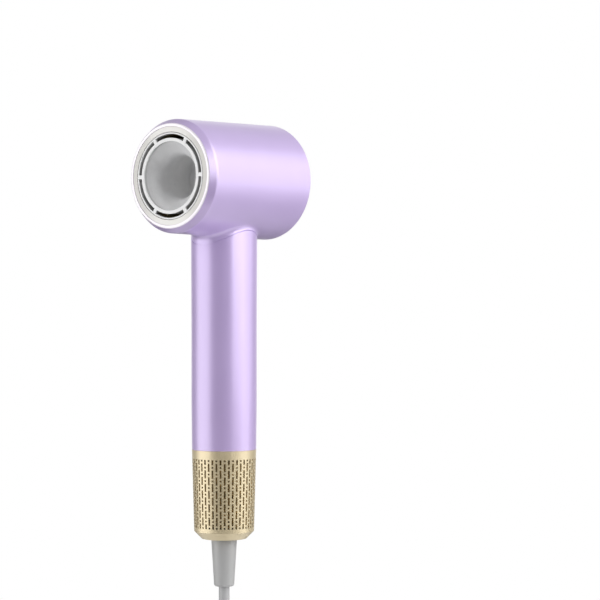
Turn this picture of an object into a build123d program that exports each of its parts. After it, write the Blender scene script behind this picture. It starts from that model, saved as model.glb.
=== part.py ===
from build123d import *
import os
from math import atan2, cos, degrees, radians, sin, sqrt

# Travel hair dryer with a leafless axial fan in its handle.
# Millimetres. The handle axis is Z and the head axis lies parallel to Y above it. z = 0 is the
# middle of the handle's cylindrical grip band. The nozzle points to -Y, the controls and the rear
# cap face +Y, and the mains lead hangs down to -Z.

os.makedirs("parts", exist_ok=True)

# ---- Driving dimensions ----

# Head
head_axis_z = 112.0  # head axis above the middle of the grip band
head_front = 48.3  # handle axis to the front lip
head_rear = 39.5  # handle axis to the rear rim
barrel_front_r = 33.1
barrel_rear_r = 34.75
shell_wall = 1.8
lip_r = 30.25
lip_width = 1.6
lip_round = 1.0
band_length = 4.4  # rounded band behind the lip
band_round = 3.2
rim_round = 0.8
neck_fillet = 3.6
seam_front_gap = 1.2  # straight neck between the fillet and the seam, at the front
seam_side_gap = 0.7

# Handle
neck_r = 19.65
grip_r = 19.4
tail_r = 19.1
handle_bore_r = 17.5
neck_length = 12.0  # straight neck between the seam's plane and the taper
grip_length = 42.0
handle_drop = 160.1  # head axis down to the filter joint
spigot_wall = 0.9
spigot_length = 4.0
seam_groove = 0.4

# Controls
slot_drop = 54.8
slot_length = 14.9
slot_width = 9.1
slot_floor_depth = 3.4
knob_r = 4.3
knob_rise = 3.1
slider_travel = 6.0
button_drop = 77.8
button_hole_r = 4.75
button_r = 4.35
button_face_y = 19.9
button_travel = 0.8

# Nozzle
face_recess = 0.2
bezel_inner_r = 25.35
outlet_hole_r = 20.0
slot_inner_r = 21.9
slot_outer_r = 24.2
spoke_width = 2.2
spoke_count = 6
ring_gap = 0.25  # fine groove seen round the outlet ring
outlet_plate = 2.0
cup_throat_r = 12.6
cup_throat_depth = 9.2
cup_floor_depth = 29.5
cup_wall = 1.2

# Rear cap
dish_depth = 2.3
disc_r = 20.4
disc_rise = 0.4
ring_r = 14.55
ring_width = 0.55

# Filter cover
cover_length = 48.4
cover_end_r = 17.8
cover_wall = 1.2
cover_chamfer = 4.5
dot_d = 1.1
dash_length = 4.85
pattern_pitch = 7.93
pattern_rows = 5
first_row = 5.8
short_dash = 3.0
column_pairs = 24
pattern_turn = -3.3

# Strain relief and cord
relief_top_r = 7.7
relief_end_r = 5.95
relief_length = 28.5
cord_d = 6.4
drop_length = 90.0
hank_height = 120.0
hank_bend_r = 19.2
hank_layer_pitch = 6.4
hank_layers = 6

# Clearances
snug = 0.05  # fixed pieces pushed together
fit_gap = 0.1  # fixed pieces with an easy fit
slide_gap = 0.25  # pieces that move past each other
soft_gap = 0.3

# ---- Shared places and helpers ----

head_plane = Plane(origin=(0, 0, head_axis_z), x_dir=(0, 1, 0), z_dir=(1, 0, 0))
head_axis = Axis((0, 0, head_axis_z), (0, 1, 0))


def below(drop):
    """Height of a point that lies a given distance under the head axis."""
    return head_axis_z - drop


def across_head(y):
    """Plane square to the head axis, facing the rear, with local Y pointing down."""
    return Plane(origin=(0, y, head_axis_z), x_dir=(1, 0, 0), z_dir=(0, 1, 0))


def facing_controls(y, z):
    """Plane that faces +Y with local Y pointing up, centred on the handle."""
    return Plane(origin=(0, y, z), x_dir=(-1, 0, 0), z_dir=(0, 1, 0))


def level(z):
    """Plane square to the handle axis."""
    return Plane.XY.offset(z)


band_end = -head_front + band_length


def barrel_r(y):
    """Outer radius of the barrel's taper."""
    return barrel_front_r + (barrel_rear_r - barrel_front_r) * (y - band_end) / (head_rear - band_end)


def barrel_bore_r(y):
    return barrel_r(y) - shell_wall


def chord(radius, offset):
    """Half width of a circle at a distance from its centre."""
    return sqrt(radius**2 - offset**2)


# The neck seam is the saddle where the handle meets a cylinder parallel to the head axis. It
# passes just under the neck fillet at the front and at the sides.
fillet_reach = barrel_r(0) + neck_fillet
seam_front_drop = fillet_reach + seam_front_gap
seam_side_drop = sqrt(fillet_reach**2 - (neck_r + neck_fillet) ** 2) + seam_side_gap
saddle_drop = (seam_front_drop**2 - seam_side_drop**2 - neck_r**2) / (
    2 * (seam_front_drop - seam_side_drop)
)
saddle_r = seam_front_drop - saddle_drop
neck_end_z = below(seam_front_drop + neck_length / 2)
handle_end_z = below(handle_drop)


def saddle_stub(radius, seam_r, bottom_z):
    """Round bar about the handle axis, hollowed from above by the seam's cylinder."""
    with BuildPart() as stub:
        with BuildSketch(level(below(saddle_drop))):
            Circle(radius)
        extrude(amount=bottom_z - below(saddle_drop))
        with BuildSketch(facing_controls(-radius - 1, below(saddle_drop))):
            Circle(seam_r)
        extrude(amount=2 * radius + 2, mode=Mode.SUBTRACT)
    return stub.part


def save(piece, name):
    """Label a finished piece and write its STEP file."""
    piece.part.label = name
    export_step(piece.part, f"parts/{name}.step")


# ---- Head shell ----

front_bore_r = lip_r - lip_width
front_seat_y = -head_front + 6.6
spigot_r = handle_bore_r + spigot_wall
neck_bore_r = spigot_r + fit_gap
stub_end_z = below(seam_front_drop + 4)
rib_height = 1.6
rib_width = 1.6
rib_y = neck_bore_r + 0.8

neck_cutter = saddle_stub(neck_r + 0.3, saddle_r, stub_end_z - 1)

with BuildPart() as head_shell:
    with BuildSketch(head_plane):
        with BuildLine():
            FilletPolyline(
                (-head_front, 0),
                (-head_front, lip_r),
                (band_end, barrel_front_r),
                (head_rear, barrel_rear_r),
                (head_rear, 0),
                radius=[lip_round, band_round, rim_round],
            )
            Line((head_rear, 0), (-head_front, 0))
        make_face()
    revolve(axis=head_axis)
    with BuildSketch(level(head_axis_z)):
        Circle(neck_r)
    extrude(amount=stub_end_z - head_axis_z)
    fillet(edges().filter_by(GeomType.BSPLINE), radius=neck_fillet)
    with BuildSketch(head_plane):
        with BuildLine():
            Polyline(
                (-head_front - 1, 0),
                (-head_front - 1, front_bore_r),
                (front_seat_y, front_bore_r),
                (front_seat_y, barrel_bore_r(front_seat_y)),
                (rib_y, barrel_bore_r(rib_y)),
                (rib_y, barrel_bore_r(rib_y) - rib_height),
                (rib_y + rib_width, barrel_bore_r(rib_y + rib_width) - rib_height),
                (rib_y + rib_width, barrel_bore_r(rib_y + rib_width)),
                (head_rear + 1, barrel_bore_r(head_rear + 1)),
                (head_rear + 1, 0),
                close=True,
            )
        make_face()
    revolve(axis=head_axis, mode=Mode.SUBTRACT)
    with BuildSketch(level(head_axis_z)):
        Circle(neck_bore_r)
    extrude(amount=stub_end_z - 1 - head_axis_z, mode=Mode.SUBTRACT)
    add(neck_cutter, mode=Mode.SUBTRACT)
save(head_shell, "head_shell")

# ---- Rear cap, disc and accent ring ----

cap_y = head_rear - 0.6  # edge of the dish inside the rim
cap_r = barrel_bore_r(cap_y) - snug
cap_floor = 1.6
cap_wall = 1.6
cap_spigot = 5.0
disc_seat_y = head_rear - dish_depth - 2.9
disc_hole_r = disc_r + fit_gap
dish_y = head_rear - dish_depth
cap_spigot_r = barrel_bore_r(cap_y - cap_spigot) - fit_gap
cap_inner_y = disc_seat_y - cap_floor
post_ring_r = 16.0
post_count = 3
cap_screw_r = 1.0
screw_head_r = 1.9
screw_head = 1.2

with BuildPart() as rear_cap:
    with BuildSketch(head_plane):
        with BuildLine():
            ThreePointArc(
                (cap_y, cap_r),
                (dish_y + 0.35 * (cap_y - dish_y), (cap_r + disc_hole_r) / 2 + 1.5),
                (dish_y, disc_hole_r),
            )
            Polyline(
                (dish_y, disc_hole_r),
                (disc_seat_y, disc_hole_r),
                (disc_seat_y, 0),
                (cap_inner_y, 0),
                (cap_inner_y, disc_hole_r + cap_wall),
                (dish_y - cap_wall, disc_hole_r + cap_wall),
                (dish_y - cap_wall, cap_spigot_r - cap_wall),
                (cap_y - cap_spigot, cap_spigot_r - cap_wall),
                (cap_y - cap_spigot, cap_spigot_r),
                (cap_y, cap_r),
            )
        make_face()
    revolve(axis=head_axis)
    with BuildSketch(across_head(cap_inner_y)):
        with PolarLocations(post_ring_r, post_count, start_angle=90):
            Circle(cap_screw_r + fit_gap)
    extrude(amount=cap_floor, mode=Mode.SUBTRACT)
save(rear_cap, "rear_cap")

disc_face_y = dish_y + disc_rise
disc_plate = 1.4
disc_skirt = 1.6
ring_depth = 0.6

with BuildPart() as rear_disc:
    with BuildSketch(across_head(disc_seat_y + snug)):
        Circle(disc_r)
    extrude(amount=disc_face_y - disc_seat_y - snug)
    with BuildSketch(across_head(disc_seat_y + snug)):
        Circle(disc_r - disc_skirt)
    extrude(amount=disc_face_y - disc_seat_y - snug - disc_plate, mode=Mode.SUBTRACT)
    fillet(edges().group_by(Axis.Y)[-1], radius=0.3)
    with BuildSketch(across_head(disc_face_y)):
        Circle(ring_r + ring_width / 2)
        Circle(ring_r - ring_width / 2, mode=Mode.SUBTRACT)
    extrude(amount=-ring_depth, mode=Mode.SUBTRACT)
save(rear_disc, "rear_disc")

with BuildPart() as accent_ring:
    with BuildSketch(across_head(disc_face_y - ring_depth)):
        Circle(ring_r + ring_width / 2)
        Circle(ring_r - ring_width / 2, mode=Mode.SUBTRACT)
    extrude(amount=ring_depth + snug)
save(accent_ring, "accent_ring")

# ---- Chamber divider, main board and what stands on it ----

divider_y = rib_y + rib_width
divider_plate = 1.4
divider_r = barrel_bore_r(divider_y) - fit_gap
board_gap = 1.2
board_thick = 1.4
board_y = divider_y + divider_plate + board_gap
board_back_y = board_y + board_thick
main_board_r = divider_r - 3.2
post_r = 3.0
shoulder_r = 4.0
cap_screw_length = 6.5
head_lead_d = 1.8
head_lead_x = 2.6
head_lead_drop = divider_r - 7.2  # where the leads pass the divider, under the head axis

with BuildPart() as chamber_divider:
    with BuildSketch(across_head(divider_y)):
        Circle(divider_r)
    extrude(amount=divider_plate)
    with BuildSketch(across_head(divider_y + divider_plate)):
        with PolarLocations(post_ring_r, post_count, start_angle=90):
            Circle(shoulder_r)
    extrude(amount=board_gap)
    with BuildSketch(across_head(divider_y)):
        with Locations((-head_lead_x, head_lead_drop), (head_lead_x, head_lead_drop)):
            Circle(head_lead_d / 2 + fit_gap)
    extrude(amount=divider_plate, mode=Mode.SUBTRACT)
    with BuildSketch(across_head(board_y)):
        with PolarLocations(post_ring_r, post_count, start_angle=90):
            Circle(post_r)
    extrude(amount=cap_inner_y - board_y)
    with BuildSketch(across_head(cap_inner_y)):
        with PolarLocations(post_ring_r, post_count, start_angle=90):
            Circle(cap_screw_r)
    extrude(amount=cap_floor - cap_screw_length - 0.5, mode=Mode.SUBTRACT)
save(chamber_divider, "chamber_divider")

with BuildPart() as cap_screws:
    with BuildSketch(across_head(disc_seat_y)):
        with PolarLocations(post_ring_r, post_count, start_angle=90):
            Circle(screw_head_r)
    extrude(amount=screw_head)
    with BuildSketch(across_head(disc_seat_y)):
        with PolarLocations(post_ring_r, post_count, start_angle=90):
            Circle(cap_screw_r)
    extrude(amount=-cap_screw_length)
save(cap_screws, "cap_screws")

with BuildPart() as main_board:
    with BuildSketch(across_head(board_y)):
        Circle(main_board_r)
        with PolarLocations(post_ring_r, post_count, start_angle=90):
            Circle(post_r + fit_gap, mode=Mode.SUBTRACT)
    extrude(amount=board_thick)
save(main_board, "main_board")

module_size = (18.0, 12.0, 6.0)
capacitor_r = 3.1
capacitor_length = 16.0
part_offset = 16.0  # parts stand this far to each side of the head axis

with BuildPart() as ion_module:
    with BuildSketch(across_head(board_back_y)):
        with Locations((part_offset - 2, 6.5)):
            RectangleRounded(module_size[1], module_size[0], 1.0)
    extrude(amount=module_size[2])
save(ion_module, "ion_module")

with BuildPart() as power_capacitor:
    with BuildSketch(level(below(capacitor_length - 2))):
        with Locations((-part_offset - 2, board_back_y + capacitor_r)):
            Circle(capacitor_r)
    extrude(amount=capacitor_length)
    chamfer(edges().filter_by(GeomType.CIRCLE), length=0.4)
save(power_capacitor, "power_capacitor")

with BuildPart() as board_components:
    with BuildSketch(across_head(board_back_y)):
        Rectangle(7.0, 7.0)
        with Locations((0, 8.0)):
            Rectangle(9.0, 5.0)
    extrude(amount=1.4)
    with BuildSketch(across_head(board_back_y)):
        with Locations((-6.0, -10.5), (0, -10.5)):
            Circle(2.0)
    extrude(amount=4.0)
save(board_components, "board_components")

# ---- Nozzle: bezel, magnets, outlet ring and inner cup ----

face_y = -head_front + face_recess
bezel_r = front_bore_r - snug
bezel_plate = 3.2
bezel_sleeve_r = 27.8
magnet_r = 1.2
magnet_thick = 1.6
magnet_ring_r = (bezel_inner_r + bezel_r) / 2
magnet_count = 6
outlet_r = bezel_inner_r - ring_gap

with BuildPart() as nozzle_bezel:
    with BuildSketch(across_head(face_y)):
        Circle(bezel_r)
        Circle(bezel_inner_r, mode=Mode.SUBTRACT)
    extrude(amount=bezel_plate)
    with BuildSketch(across_head(face_y + bezel_plate)):
        Circle(bezel_r)
        Circle(bezel_sleeve_r, mode=Mode.SUBTRACT)
    extrude(amount=front_seat_y - snug - face_y - bezel_plate)
    with BuildSketch(across_head(face_y + bezel_plate)):
        with PolarLocations(magnet_ring_r, magnet_count):
            Circle(magnet_r + snug)
    extrude(amount=-magnet_thick, mode=Mode.SUBTRACT)
    chamfer(edges().group_by(Axis.Y)[0], length=0.15)
save(nozzle_bezel, "nozzle_bezel")

with BuildPart() as nozzle_magnets:
    with BuildSketch(across_head(face_y + bezel_plate)):
        with PolarLocations(magnet_ring_r, magnet_count):
            Circle(magnet_r)
    extrude(amount=-magnet_thick)
save(nozzle_magnets, "nozzle_magnets")

collar_inner_r = outlet_hole_r + cup_wall + snug
collar_length = 3.0
flare_wall = 0.8
flare_y = face_y + bezel_plate + 0.5
flare_end_y = flare_y + 3.4
sleeve_y = flare_end_y + 2.4
sleeve_r = bezel_sleeve_r - fit_gap
sleeve_bore_r = sleeve_r - flare_wall
outlet_back_y = face_y + outlet_plate

with BuildPart() as outlet_ring:
    with BuildSketch(across_head(face_y)):
        Circle(outlet_r)
        Circle(outlet_hole_r, mode=Mode.SUBTRACT)
    extrude(amount=outlet_plate)
    chamfer(edges().group_by(Axis.Y)[0], length=0.15)
    with BuildSketch(across_head(outlet_back_y)):
        Circle(slot_inner_r)
        Circle(collar_inner_r, mode=Mode.SUBTRACT)
    extrude(amount=collar_length)
    with BuildSketch(head_plane):
        with BuildLine():
            Polyline(
                (outlet_back_y, outlet_r - flare_wall),
                (outlet_back_y, outlet_r),
                (flare_y, outlet_r),
                (flare_end_y, sleeve_r),
                (sleeve_y, sleeve_r),
                (sleeve_y, sleeve_bore_r),
                (flare_end_y, sleeve_bore_r),
                (flare_y, outlet_r - flare_wall),
                close=True,
            )
        make_face()
    revolve(axis=head_axis)
    with BuildSketch(across_head(face_y)):
        Circle(slot_outer_r)
        Circle(slot_inner_r, mode=Mode.SUBTRACT)
        with PolarLocations(0, spoke_count):
            with Locations((slot_outer_r, 0)):
                Rectangle(slot_outer_r, spoke_width, mode=Mode.SUBTRACT)
    extrude(amount=outlet_plate, mode=Mode.SUBTRACT)
save(outlet_ring, "outlet_ring")

cup_front_y = outlet_back_y + snug
throat_y = face_y + cup_throat_depth
cup_floor_y = face_y + cup_floor_depth
cup_outer_r = cup_throat_r + cup_wall

with BuildPart() as inner_cup:
    with BuildSketch(head_plane):
        with BuildLine():
            FilletPolyline(
                (cup_front_y, outlet_hole_r),
                (throat_y, cup_throat_r),
                (cup_floor_y, cup_throat_r),
                (cup_floor_y, 0),
                radius=[6.0, 2.0],
            )
            FilletPolyline(
                (cup_front_y, outlet_hole_r + cup_wall),
                (throat_y, cup_outer_r),
                (cup_floor_y + cup_wall, cup_outer_r),
                (cup_floor_y + cup_wall, 0),
                radius=[5.0, 2.0],
            )
            Line((cup_front_y, outlet_hole_r), (cup_front_y, outlet_hole_r + cup_wall))
            Line((cup_floor_y, 0), (cup_floor_y + cup_wall, 0))
        make_face()
    revolve(axis=head_axis)
save(inner_cup, "inner_cup")

# ---- Heater ----

heater_tube_r = cup_outer_r + 2 * fit_gap
heater_tube_wall = 0.8
heater_y = throat_y + 2.6
heater_length = 27.0
fin_thick = 0.8
fin_count = 6
wire_d = 0.9
coil_r = 21.5
coil_pitch = 3.6
coil_turns = 6.5
coil_y = heater_y + 2.0
fin_r = sleeve_bore_r - fit_gap

coil_path = Helix(
    pitch=coil_pitch,
    height=coil_pitch * coil_turns,
    radius=coil_r,
    center=(0, coil_y, head_axis_z),
    direction=(0, 1, 0),
)
crossing_count = int(coil_turns * fin_count)
crossings = [(k + 0.5) / (fin_count * coil_turns) for k in range(crossing_count)]
fin_angles = [
    degrees(atan2((coil_path @ t).Z - head_axis_z, (coil_path @ t).X)) for t in crossings[:fin_count]
]

with BuildPart() as heater_coil:
    with BuildSketch(Plane(origin=coil_path @ 0, z_dir=coil_path % 0)):
        Circle(wire_d / 2)
    sweep(path=coil_path, is_frenet=True)
save(heater_coil, "heater_coil")

with BuildPart() as heater_frame:
    with BuildSketch(across_head(heater_y)):
        Circle(heater_tube_r + heater_tube_wall)
        for angle in fin_angles:
            with PolarLocations(0, 1, start_angle=-angle):
                with Locations(((fin_r + heater_tube_r) / 2, 0)):
                    Rectangle(fin_r - heater_tube_r, fin_thick)
        Circle(heater_tube_r, mode=Mode.SUBTRACT)
    extrude(amount=heater_length)
    for t in crossings:
        with Locations(Plane(origin=coil_path @ t, z_dir=coil_path % t)):
            Cylinder(wire_d / 2 + 0.2, 4 * fin_thick, mode=Mode.SUBTRACT)
save(heater_frame, "heater_frame")

heater_end_y = heater_y + heater_length

with BuildPart() as heater_sleeve:
    with BuildSketch(across_head(sleeve_y + snug)):
        Circle(sleeve_r)
        Circle(sleeve_bore_r, mode=Mode.SUBTRACT)
    extrude(amount=heater_end_y - sleeve_y)
save(heater_sleeve, "heater_sleeve")

# Small parts between the fins stand on radial planes midway between two fins.
mid_angles = [angle + 180 / fin_count for angle in fin_angles]
cutout_r = 3.2
cutout_height = 3.4


def radial_plane(angle, radius, y):
    """Plane whose normal points away from the head axis at an angle from +X."""
    out = Vector(cos(radians(angle)), 0, sin(radians(angle)))
    return Plane(origin=Vector(0, y, head_axis_z) + out * radius, x_dir=(0, 1, 0), z_dir=out)


with BuildPart() as thermal_cutout:
    with BuildSketch(radial_plane(mid_angles[1], heater_tube_r + heater_tube_wall, heater_end_y - 5)):
        Circle(cutout_r)
    extrude(amount=cutout_height)
    with BuildSketch(radial_plane(mid_angles[1], heater_tube_r + heater_tube_wall, heater_end_y - 5)):
        Rectangle(3 * cutout_r, 2.0)
    extrude(amount=0.8)
save(thermal_cutout, "thermal_cutout")

with BuildPart() as temperature_sensor:
    with BuildSketch(radial_plane(mid_angles[2], heater_tube_r + heater_tube_wall, heater_y + 3)):
        Circle(1.2)
    extrude(amount=3.0)
    fillet(faces().sort_by(Axis.Y)[0].edges().filter_by(GeomType.CIRCLE), radius=0.3)
save(temperature_sensor, "temperature_sensor")

emitter_r = 0.8
emitter_ring_r = sleeve_bore_r - emitter_r - fit_gap
emitter_tip = 2.5

with BuildPart() as ion_emitters:
    for angle in (mid_angles[0], mid_angles[3]):
        tip = radial_plane(angle, emitter_ring_r, heater_y).origin
        with BuildSketch(Plane(origin=tip, x_dir=(1, 0, 0), z_dir=(0, 1, 0))):
            Circle(emitter_r)
        extrude(amount=heater_length)
        with BuildSketch(Plane(origin=tip, x_dir=(1, 0, 0), z_dir=(0, -1, 0))):
            Circle(emitter_r / 2)
        extrude(amount=emitter_tip, taper=8)
save(ion_emitters, "ion_emitters")

# ---- Handle shell ----

slot_z = below(slot_drop)
button_z = below(button_drop)

seam_steps = [
    (neck_r, saddle_r + seam_groove),
    (neck_r - seam_groove, saddle_r),
    (spigot_r, saddle_r - spigot_length),
]
handle_stubs = [saddle_stub(radius, seam_r, neck_end_z) for radius, seam_r in seam_steps]

with BuildPart() as handle_shell:
    for stub in handle_stubs:
        add(stub)
    with BuildSketch(Plane.XZ):
        with BuildLine():
            Polyline(
                (0, neck_end_z),
                (neck_r, neck_end_z),
                (grip_r, grip_length / 2),
                (grip_r, -grip_length / 2),
                (tail_r, handle_end_z),
                (0, handle_end_z),
                close=True,
            )
        make_face()
    revolve(axis=Axis.Z)
    with BuildSketch(level(handle_end_z)):
        Circle(handle_bore_r)
    extrude(amount=below(0) - handle_end_z, mode=Mode.SUBTRACT)
    with BuildSketch(facing_controls(0, slot_z)):
        SlotOverall(slot_length, slot_width, rotation=90)
    extrude(amount=neck_r + 1, mode=Mode.SUBTRACT)
    with BuildSketch(facing_controls(0, button_z)):
        Circle(button_hole_r)
    extrude(amount=neck_r + 1, mode=Mode.SUBTRACT)
save(handle_shell, "handle_shell")

# ---- Controls ----

knob_z = slot_z - slider_travel / 2  # the knob rests at the lower end of its travel
carriage_front_y = neck_r - slot_floor_depth
carriage_thick = 1.2
carriage_back_y = carriage_front_y - carriage_thick
carriage_half_width = slot_width / 2 + 0.7
carriage_half_length = slot_length / 2 + slider_travel / 2 + 0.6
plate_thick = 1.0
ledge_depth = 1.45
plate_front_y = carriage_back_y - ledge_depth - 0.15
plate_back_y = plate_front_y - plate_thick
rail_wall = 1.4
rail_x = carriage_half_width + slide_gap
rail_top_y = carriage_front_y - 0.35
flange_r = button_r + 1.05
flange_thick = 1.0
flange_front_y = chord(handle_bore_r, flange_r) - soft_gap
guide_r = flange_r + slide_gap
guide_wall = 1.0
guide_top_y = flange_front_y - 0.6
tact_hole_r = 3.2
frame_half_width = chord(handle_bore_r, plate_front_y) - fit_gap
frame_top_z = knob_z + slider_travel + carriage_half_length
frame_bottom_z = button_z - guide_r - guide_wall - 2.0
post_height = 2.2
board_front_y = plate_back_y - post_height
switch_board_thick = 1.2
board_rear_y = board_front_y - switch_board_thick
screw_r = 0.9
frame_post_r = 1.8
frame_post_x = frame_half_width - frame_post_r - 0.7
frame_post_zs = (frame_top_z - 6.0, frame_bottom_z + 3.0)
frame_posts = [(x, z) for x in (-frame_post_x, frame_post_x) for z in frame_post_zs]
lever = 2.0
window_half = lever / 2 + 0.9
rail_length = 2 * carriage_half_length + slider_travel

with BuildPart() as control_frame:
    with BuildSketch(facing_controls(plate_back_y, (frame_top_z + frame_bottom_z) / 2)):
        Rectangle(2 * frame_half_width, frame_top_z - frame_bottom_z)
    extrude(amount=plate_thick)
    with BuildSketch(facing_controls(plate_front_y, knob_z + slider_travel / 2)):
        with Locations((rail_x + rail_wall / 2, 0), (-rail_x - rail_wall / 2, 0)):
            Rectangle(rail_wall, rail_length)
    extrude(amount=rail_top_y - plate_front_y)
    with BuildSketch(facing_controls(plate_front_y, knob_z + slider_travel / 2)):
        with Locations((rail_x - 0.6, 0), (0.6 - rail_x, 0)):
            Rectangle(1.2, rail_length)
    extrude(amount=ledge_depth)
    with BuildSketch(facing_controls(plate_front_y, button_z)):
        Circle(guide_r + guide_wall)
    extrude(amount=guide_top_y - plate_front_y)
    with BuildSketch(facing_controls(plate_front_y, button_z)):
        Circle(guide_r)
    extrude(amount=guide_top_y - plate_front_y, mode=Mode.SUBTRACT)
    with BuildSketch(facing_controls(plate_back_y, 0)):
        with Locations((0, button_z)):
            Circle(tact_hole_r)
        with Locations((0, knob_z + slider_travel / 2)):
            Rectangle(lever + 1.0, slider_travel + 2 * window_half)
    extrude(amount=plate_thick, mode=Mode.SUBTRACT)
    with BuildSketch(facing_controls(board_front_y, 0)):
        with Locations(*frame_posts):
            Circle(frame_post_r)
    extrude(amount=post_height)
    with BuildSketch(facing_controls(board_front_y, 0)):
        with Locations(*frame_posts):
            Circle(screw_r)
    extrude(amount=post_height, mode=Mode.SUBTRACT)
save(control_frame, "control_frame")

switch_board_bottom_z = frame_bottom_z - 5.0
switch_board_half_width = chord(handle_bore_r, board_front_y) - 3.0

with BuildPart() as switch_board:
    with BuildSketch(facing_controls(board_rear_y, (frame_top_z + switch_board_bottom_z) / 2)):
        Rectangle(2 * switch_board_half_width, frame_top_z - switch_board_bottom_z)
    extrude(amount=switch_board_thick)
    with BuildSketch(facing_controls(board_rear_y, 0)):
        with Locations(*frame_posts):
            Circle(screw_r + fit_gap)
    extrude(amount=switch_board_thick, mode=Mode.SUBTRACT)
save(switch_board, "switch_board")

control_screw_head = 0.8

with BuildPart() as control_screws:
    with BuildSketch(facing_controls(board_rear_y, 0)):
        with Locations(*frame_posts):
            Circle(2 * screw_r)
    extrude(amount=-control_screw_head)
    with BuildSketch(facing_controls(board_rear_y, 0)):
        with Locations(*frame_posts):
            Circle(screw_r)
    extrude(amount=switch_board_thick + post_height - 0.3)
save(control_screws, "control_screws")

prong = 1.2
prong_depth = ledge_depth - 0.2

with BuildPart() as slider_carriage:
    with BuildSketch(facing_controls(carriage_back_y, knob_z)):
        Rectangle(2 * carriage_half_width, 2 * carriage_half_length)
    extrude(amount=carriage_thick)
    with BuildSketch(facing_controls(carriage_back_y, knob_z)):
        with Locations((0, (lever + prong) / 2 + fit_gap), (0, -(lever + prong) / 2 - fit_gap)):
            Rectangle(lever + 1.0, prong)
    extrude(amount=-prong_depth)
save(slider_carriage, "slider_carriage")

with BuildPart() as power_knob:
    with BuildSketch(facing_controls(carriage_front_y, knob_z)):
        Circle(knob_r)
    extrude(amount=knob_rise)
    chamfer(edges().group_by(Axis.Y)[-1], length=0.35)
save(power_knob, "power_knob")

switch_height = 2.0
lever_root_y = board_front_y + 0.9

with BuildPart() as slide_switch:
    with BuildSketch(facing_controls(board_front_y, knob_z + slider_travel / 2)):
        Rectangle(7.2, slider_travel + lever + 6.0)
    extrude(amount=switch_height)
    with BuildSketch(facing_controls(lever_root_y - 0.2, knob_z + slider_travel / 2)):
        Rectangle(lever + 0.5, slider_travel + lever + 0.5)
    extrude(amount=switch_height, mode=Mode.SUBTRACT)
save(slide_switch, "slide_switch")

with BuildPart() as switch_lever:
    with BuildSketch(facing_controls(lever_root_y, knob_z)):
        Rectangle(lever, lever)
    extrude(amount=carriage_back_y - 0.1 - lever_root_y)
save(switch_lever, "switch_lever")

tact_size = 6.0
plunger_r = 1.5
plunger_tip_y = plate_front_y + 0.6
stem_r = 1.7

with BuildPart() as temp_button:
    with BuildSketch(facing_controls(flange_front_y - flange_thick, button_z)):
        Circle(flange_r)
    extrude(amount=flange_thick)
    with BuildSketch(facing_controls(flange_front_y, button_z)):
        Circle(button_r)
    extrude(amount=button_face_y - flange_front_y)
    chamfer(edges().group_by(Axis.Y)[-1], length=0.35)
    with BuildSketch(facing_controls(plunger_tip_y + snug, button_z)):
        Circle(stem_r)
    extrude(amount=flange_front_y - flange_thick - plunger_tip_y - snug)
save(temp_button, "temp_button")

with BuildPart() as tact_switch:
    with BuildSketch(facing_controls(board_front_y, button_z)):
        RectangleRounded(tact_size, tact_size, 0.6)
    extrude(amount=switch_height)
    with BuildSketch(facing_controls(board_front_y + 0.4, button_z)):
        Circle(plunger_r + 0.15)
    extrude(amount=switch_height, mode=Mode.SUBTRACT)
save(tact_switch, "tact_switch")

with BuildPart() as tact_plunger:
    with BuildSketch(facing_controls(board_front_y + 0.6 + button_travel, button_z)):
        Circle(plunger_r)
    extrude(amount=plunger_tip_y - board_front_y - 0.6 - button_travel)
save(tact_plunger, "tact_plunger")

# ---- Air duct and motor ----

motor_top_z = below(98.0)
shroud_length = 40.0
motor_bottom_z = motor_top_z - shroud_length
shroud_r = 14.2
shroud_wall = 0.9
shroud_bore_r = shroud_r - shroud_wall
duct_r = handle_bore_r - fit_gap
duct_wall = 1.0
duct_flat_y = board_rear_y - control_screw_head - 0.3
duct_top_z = below(seam_front_drop)
duct_foot = 1.2
lead_d = 1.8
lead_y = (shroud_r + handle_bore_r) / 2
lead_x = 2.6
lead_hole_r = lead_d / 2 + fit_gap
motor_lead_d = 1.2
motor_lead_z = switch_board_bottom_z + 2.0
motor_lead_xs = (-3.2, 0.0, 3.2)

with BuildPart() as air_duct:
    with BuildSketch(level(motor_top_z)):
        Circle(duct_r)
        with Locations((0, duct_flat_y + duct_r)):
            Rectangle(2 * duct_r, 2 * duct_r, mode=Mode.SUBTRACT)
    extrude(amount=duct_top_z - motor_top_z)
    with BuildSketch(level(motor_top_z)):
        Circle(duct_r - duct_wall)
        with Locations((0, duct_flat_y - duct_wall + duct_r)):
            Rectangle(2 * duct_r, 2 * duct_r, mode=Mode.SUBTRACT)
    extrude(amount=duct_top_z - motor_top_z, mode=Mode.SUBTRACT)
    with BuildSketch(level(motor_top_z)):
        Circle(duct_r)
        Circle(shroud_bore_r - 0.4, mode=Mode.SUBTRACT)
        with Locations((lead_x, lead_y), (-lead_x, lead_y)):
            Circle(lead_hole_r, mode=Mode.SUBTRACT)
    extrude(amount=duct_foot)
    with BuildSketch(facing_controls(duct_flat_y - duct_wall - 0.5, motor_lead_z)):
        with Locations(*[(x, 0) for x in motor_lead_xs]):
            Circle(motor_lead_d / 2 + fit_gap)
    extrude(amount=duct_wall + 1, mode=Mode.SUBTRACT)
save(air_duct, "air_duct")

mount_height = 5.0
mount_zs = (motor_top_z - 2.0 - mount_height, motor_bottom_z + 4.0)

with BuildPart() as motor_mounts:
    for z in mount_zs:
        with BuildSketch(level(z)):
            Circle(handle_bore_r - fit_gap)
            Circle(shroud_r + fit_gap, mode=Mode.SUBTRACT)
            with Locations((lead_x, lead_y), (-lead_x, lead_y)):
                Circle(lead_hole_r, mode=Mode.SUBTRACT)
        extrude(amount=mount_height)
save(motor_mounts, "motor_mounts")

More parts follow.
